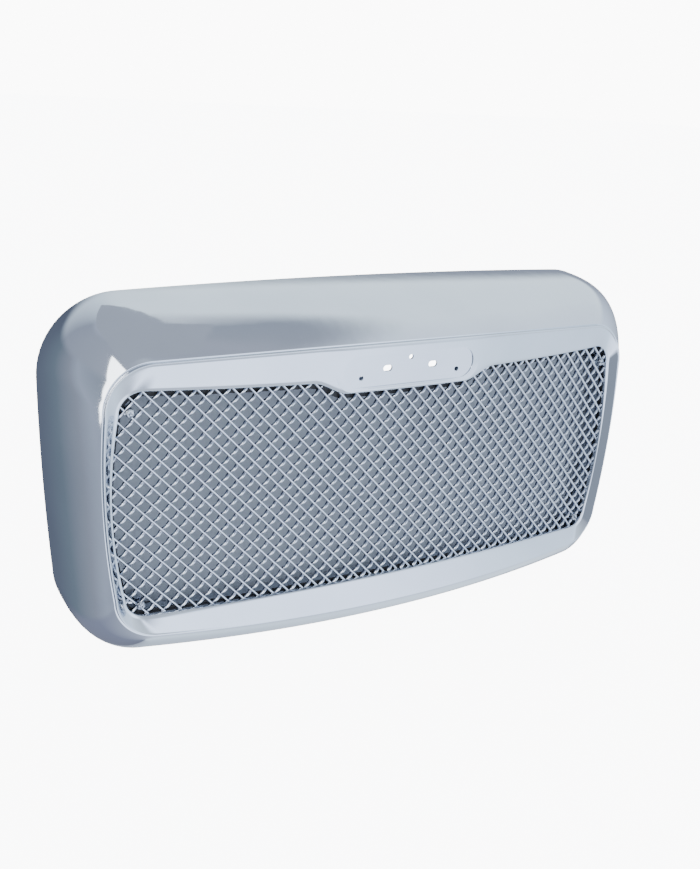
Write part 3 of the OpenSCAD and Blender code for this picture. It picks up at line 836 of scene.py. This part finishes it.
def webbed(x, z):
    """A round post with a web out to the wall of the opening, clockwise."""
    end = float(side_x(OPENING, z)) + WALL / 2 - abs(x)
    g = np.radians(np.linspace(-12.4, -347.6, 24))
    round_part = np.stack([POST_R * np.cos(g), POST_R * np.sin(g)], 1)
    shape = np.concatenate([round_part, [[end, 1.5], [end, -1.5]]])
    return shape + [x, z] if x > 0 else (shape * [-1, 1])[::-1] + [x, z]


welded, drilled = [], []
for x, z in screw_places:
    web, hole = webbed(x, z), round_shape(PILOT_R, x, z, DRILL_POINTS)
    welded.append(plug("post", [(POST_FRONT, web), (TUBE_DEPTH - 0.5, web)]))
    drilled.append(plug("post_drill", [(POST_FRONT - 1, hole), (POST_FRONT + 20, hole)]))
for x, z in boss_places:
    boss, hole = round_shape(BOSS_R, x, z), round_shape(PILOT_R, x, z, DRILL_POINTS)
    back = BOSS_BACK + DEPTH - float(bow(x))
    welded.append(plug("boss", [(TUBE_DEPTH - 1, boss), (back, boss)]))
    drilled.append(plug("boss_drill", [(back - 12, hole), (back + 2, hole)]))


def joined(name, pieces):
    """One object from several that stand apart."""
    points, faces = [], []
    for made in pieces:
        faces += [[v + len(points) for v in f.vertices] for f in made.data.polygons]
        points += [tuple(v.co) for v in made.data.vertices]
        bpy.data.objects.remove(made)
    mesh = bpy.data.meshes.new(name)
    mesh.from_pydata(points, [], faces)
    made = bpy.data.objects.new(name, mesh)
    scene.collection.objects.link(made)
    return made


carve(surround, [joined("welded", welded)], "UNION")
carve(surround, [joined("drilled", drilled)])
print("posts and bosses:", len(screw_places) + len(boss_places), "faces:", len(surround.data.polygons))

# %% [markdown]
# ## A strip of painted shade
#
# A strip with the black rubber finish lies between the back of the lattice and the opening's wall. It
# is painted shade: from the front it shows as dark gaps where the bars run out under the lip, where
# the edge of the lattice lies in shade. It is deeper along the top. It could be a solidified
# outline, but a loft through four outlines gives it a closed section at once.

# %% The strip behind the lattice
STRIP_FRONT, STRIP_T = 9.4, 1.8
strip_in = OPENING + np.array([-4.5, -3.5, 0, -10.5, 4, 0, 0, -6, -6, 0])
strip_out = grown(OPENING, -0.4)
strip_back = STRIP_FRONT + STRIP_T
# a black strip of painted shade behind the edge of the lattice
strip = lofted("painted_shade_strip", [ring(strip_in, STRIP_FRONT), ring(strip_out, STRIP_FRONT),
                                ring(strip_out, strip_back), ring(strip_in, strip_back)])
print("strip faces:", len(strip.data.polygons))

# %% [markdown]
# ## Lattice screws and washers
#
# Four screws with washers hold the lattice at its corners. One screw could be modelled and
# copied by hand; a geometry tree builds the head, its cross recess, the shank and the washer
# from sizes, sets one on each spot and turns each cross a little differently, as a real
# screwdriver leaves them.

# %% Places for the fastenings
SEAT = -2.6


def spots(near):
    """The four places of the corner screws, as points on the bow."""
    many = near.add("GeometryNodeJoinGeometry")
    for x, z in screw_places:
        at = (x * MM, (-DEPTH + float(bow(x)) + SEAT) * MM, z * MM)
        point = near.add("GeometryNodePoints", inputs={"Count": 1, "Position": at})
        near.tree.links.new(point.socket, many.socket.node.inputs[0])
    return many


def set_on_spots(shape, finish, turned_by):
    """Puts a shape on each spot, facing forwards, and finishes the tree."""
    angle = shape.add("FunctionNodeRandomValue", {"data_type": "FLOAT"},
                      {2: 0.0, 3: turned_by, "Seed": 7}, out=1)
    turn = vector(math.pi / 2, angle, 0.0)
    many = shape.add("GeometryNodeInstanceOnPoints",
                     inputs={"Points": spots(shape), "Instance": shape, "Rotation": turn})
    whole = many.add("GeometryNodeRealizeInstances", inputs={0: many})
    done = whole.add("GeometryNodeSetMaterial", inputs={"Geometry": whole, "Material": finish})
    done.add("NodeGroupOutput", inputs={"Geometry": done})


print("places for screws:", len(screw_places))

# %% One screw
screw_tree, size = new_geometry_tree("pan_screw", {
    "Head Radius": 4.6 * MM, "Head Height": 3.0 * MM, "Shank Radius": 2.0 * MM, "Length": 30 * MM,
    "Cross Width": 1.1 * MM})
rim, crown, shank = size["Head Radius"], size["Head Height"], size["Shank Radius"]
skirt = rim.add("GeometryNodeMeshCylinder", {"fill_type": "NGON"},
                {"Vertices": 20, "Radius": rim, "Depth": crown / 3})
skirt = skirt.add("GeometryNodeTransform",
                  inputs={"Geometry": skirt, "Translation": vector(0.0, 0.0, crown / 6)})
dome = rim.add("GeometryNodeMeshCone", {"fill_type": "NGON"}, {
    "Vertices": 20, "Side Segments": 1,
    "Radius Bottom": rim, "Radius Top": rim * 0.55, "Depth": crown * 2 / 3})
dome = dome.add("GeometryNodeTransform",
                inputs={"Geometry": dome, "Translation": vector(0.0, 0.0, crown / 3)})
stem = rim.add("GeometryNodeMeshCylinder", {"fill_type": "NGON"},
               {"Vertices": 10, "Radius": shank, "Depth": size["Length"]})
stem = stem.add("GeometryNodeTransform",
                inputs={"Geometry": stem, "Translation": vector(0.0, 0.0, size["Length"] / -2)})
head = dome
for across in (vector(rim * 1.1, size["Cross Width"], crown), vector(size["Cross Width"], rim * 1.1, crown)):
    blade = dome.add("GeometryNodeMeshCube", inputs={"Size": across})
    blade = blade.add("GeometryNodeTransform",
                      inputs={"Geometry": blade, "Translation": vector(0.0, 0.0, crown)})
    head = head.add("GeometryNodeMeshBoolean", {"operation": "DIFFERENCE"}, {"Mesh 1": head, "Mesh 2": blade})
screw = head.add("GeometryNodeJoinGeometry")
for part in (head, skirt, stem):
    screw_tree.links.new(part.socket, screw.socket.node.inputs[0])
set_on_spots(screw, size["Finish"], 1.5)
print("nodes in the screw's tree:", len(screw_tree.nodes))

# %% One washer
WASHER = {"Radius": 7 * MM, "Hole": 2.6 * MM, "Thickness": 1.2 * MM}
washer_tree, size = new_geometry_tree("washer", WASHER)
middle = (size["Radius"] + size["Hole"]) / 2
loop = middle.add("GeometryNodeCurvePrimitiveCircle", inputs={"Resolution": 32, "Radius": middle})
edge = middle.add("GeometryNodeCurvePrimitiveCircle", inputs={"Resolution": 8, "Radius": 0.5})
edge = edge.add("GeometryNodeTransform", inputs={
    "Geometry": edge, "Rotation": (0.0, 0.0, EIGHTH),
    "Scale": vector((size["Radius"] - size["Hole"]) * 1.04, size["Thickness"] * 1.08, 1.0)})
washer = loop.add("GeometryNodeCurveToMesh", inputs={"Curve": loop, "Profile Curve": edge, "Fill Caps": True})
washer = washer.add("GeometryNodeTransform",
                    inputs={"Geometry": washer, "Translation": vector(0.0, 0.0, size["Thickness"] / -2)})
set_on_spots(washer, size["Finish"], 0.0)
print("trees:", [tree.name for tree in bpy.data.node_groups])

# %% [markdown]
# ## The other finishes
#
# Behind the chrome every piece keeps the shape of the solid model and gets its own finish:
# zinc-plated steel with a faint grain of crystals, mill-finish alloy with the fine lines of
# the die that it was drawn through, woven cloth, and black rubber, nylon and foam. Each is a
# recipe in numbers and noise at the real scale, so it holds up close and from any side.


# %% Metals
def finish(name, recipe):
    """A material from a recipe that returns the shader's inputs for a place on the piece."""
    material = bpy.data.materials.new(name)
    tree, shader = new_tree(material)
    feed(shader, **recipe(object_place(tree)))
    return material


def stretched(place, scale, turn=(0.0, 0.0, 0.0)):
    return place.add("ShaderNodeMapping", inputs={"Vector": place, "Scale": scale, "Rotation": turn})


def zinc(place):
    crystals = place.add("ShaderNodeTexVoronoi", inputs={"Vector": place, "Scale": 260.0}, out=1).part(0)
    cloud, dust = noise(place, 22.0, 3.0), noise(place, 700.0).band(0.6, 0.72)
    tone = blend(crystals * 0.35 + cloud.band(0.35, 0.7) * 0.4,
                 colour(0.62, 0.64, 0.66), colour(0.42, 0.44, 0.46))
    rough = 0.28 + crystals * 0.1 + cloud * 0.15 + dust * 0.2
    return {"Base_Color": tone, "Metallic": 1.0, "Roughness": rough,
            "Normal": bump(crystals * 0.5 + cloud, 0.00006)}


def stainless(place):
    """Turned steel: fine rings of the tool, and patches of grime at random."""
    marks = noise(stretched(place, (900.0, 5200.0, 900.0)), 1.0, 2.0)
    grime = noise(place, 320.0, 3.0)
    tone = blend(grime.band(0.42, 0.6), colour(0.46, 0.49, 0.53), colour(0.10, 0.11, 0.14))
    return {"Base_Color": tone, "Metallic": 1.0, "Roughness": 0.16 + marks * 0.14 + grime * 0.12,
            "Normal": bump(marks, 0.00004)}


def drawn_alloy(place):
    lines = noise(stretched(place, (14.0, 2600.0, 2600.0)), 1.0, 2.0)
    cloud = noise(place, 16.0, 3.0)
    tone = blend(cloud.band(0.3, 0.7) * 0.6 + lines * 0.3, colour(0.70, 0.71, 0.72), colour(0.50, 0.51, 0.53))
    return {"Base_Color": tone, "Metallic": 1.0, "Roughness": 0.34 + lines * 0.16 + cloud * 0.1,
            "Normal": bump(lines, 0.00005)}


print("metal recipes ready")

# %% Cloth, rubber, nylon and foam
WIRE_PITCH = 0.0014


def woven_cloth(place):
    """A screen woven from round wire at 1.4 mm, grey with a soft shine on each wire."""
    across, along = (abs((place.part(axis) * (math.pi / WIRE_PITCH)).sum(
        "SINE", place.part(axis) * (math.pi / WIRE_PITCH))) for axis in (0, 2))
    knuckle = across.sum("MAXIMUM", across, along)
    cloud, fine = noise(place, 7.0, 3.0), noise(place, 900.0)
    share = cloud.band(0.35, 0.7) * 0.25 + fine * 0.1 + (1 - knuckle) * 0.25
    tone = blend(share, colour(0.40, 0.425, 0.46), colour(0.30, 0.32, 0.36))
    return {"Base_Color": tone, "Metallic": 0.0, "Roughness": 0.62 + cloud * 0.1,
            "Normal": bump(knuckle, 0.00012)}


def black_rubber(place):
    cloud, grain = noise(place, 18.0, 3.0), noise(place, 1400.0, 2.0)
    bloom = cloud.band(0.45, 0.75) * 0.5 + grain * 0.2
    tone = blend(bloom, colour(0.012, 0.012, 0.015), colour(0.040, 0.041, 0.045))
    return {"Base_Color": tone, "Roughness": 0.55 + cloud * 0.2, "Normal": bump(grain, 0.00008)}


def black_nylon(place):
    spark = noise(place, 1100.0, 2.0)
    flow = noise(stretched(place, (30.0, 30.0, 90.0)), 1.0, 2.0)
    tone = blend(flow.band(0.4, 0.7) * 0.6, colour(0.022, 0.022, 0.025), colour(0.045, 0.046, 0.050))
    return {"Base_Color": tone, "Roughness": 0.38 + flow * 0.15 + spark * 0.06,
            "Normal": bump(spark, 0.00005)}


def black_foam(place):
    cells = place.add("ShaderNodeTexVoronoi", inputs={"Vector": place, "Scale": 1500.0}, out=0)
    cloud = noise(place, 25.0, 3.0)
    tone = blend(cells * 0.6 + cloud.band(0.4, 0.7) * 0.3,
                 colour(0.018, 0.018, 0.020), colour(0.055, 0.056, 0.060))
    return {"Base_Color": tone, "Roughness": 0.9, "Normal": bump(cells, 0.0002)}


print("soft recipes ready")

# %% A finish for every solid piece
FINISHES = {"zinc_steel": zinc, "stainless": stainless, "drawn_alloy": drawn_alloy,
            "woven_cloth": woven_cloth, "black_rubber": black_rubber, "black_nylon": black_nylon,
            "black_foam": black_foam}
finishes = {name: finish(name, recipe) for name, recipe in FINISHES.items()}
FINISH_OF = {"insect_screen": "woven_cloth", "screen_spline": "black_rubber",
             "rubber_bumpers": "black_rubber", "screen_corner_keys": "black_nylon",
             "hood_seal": "black_foam"}
MADE_ANEW = ("surround", "mesh_insert", "mesh_screws", "mesh_washers")
for name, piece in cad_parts.items():
    if name in MADE_ANEW:
        continue
    kind = FINISH_OF.get(name, "drawn_alloy" if name.endswith("_rail") else "zinc_steel")
    for slot in piece.material_slots:
        slot.material = finishes[kind]
with_slot = sum(bool(p.material_slots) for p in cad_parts.values())
print("finishes:", len(finishes), "pieces with a slot:", with_slot)

# %% [markdown]
# ## Putting it together
#
# The three geometry trees now run once, the skin is shaded smooth except over its sharp edges,
# and every new piece takes the place of its solid one. The box round everything was measured
# at the start, because a look must never change a size.

# %% Pieces in place
surround.data.shade_smooth()
surround.data.set_sharp_from_angle(angle=math.radians(40))
surround.data.materials.clear()
surround.data.materials.append(surround_chrome())
# the strip of painted shade takes the black rubber finish
strip.data.materials.append(finishes["black_rubber"])
lattice = grow("crimped_lattice", lattice_tree, lattice_chrome())
lattice_screws = grow("lattice_screws", screw_tree, finishes["stainless"])
lattice_washers = grow("lattice_washers", washer_tree, finishes["stainless"])

PLACES = [(surround, "surround", "chrome_plastic"), (lattice, "mesh_insert", "chrome_lattice"),
          (lattice_screws, "mesh_screws", "stainless"), (lattice_washers, "mesh_washers", "stainless"),
          (strip, None, "black_rubber")]
for piece, node, slot in PLACES:
    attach(piece, "root")
    if node:
        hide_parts(node)
    print(piece.name, "faces:", len(piece.data.polygons))
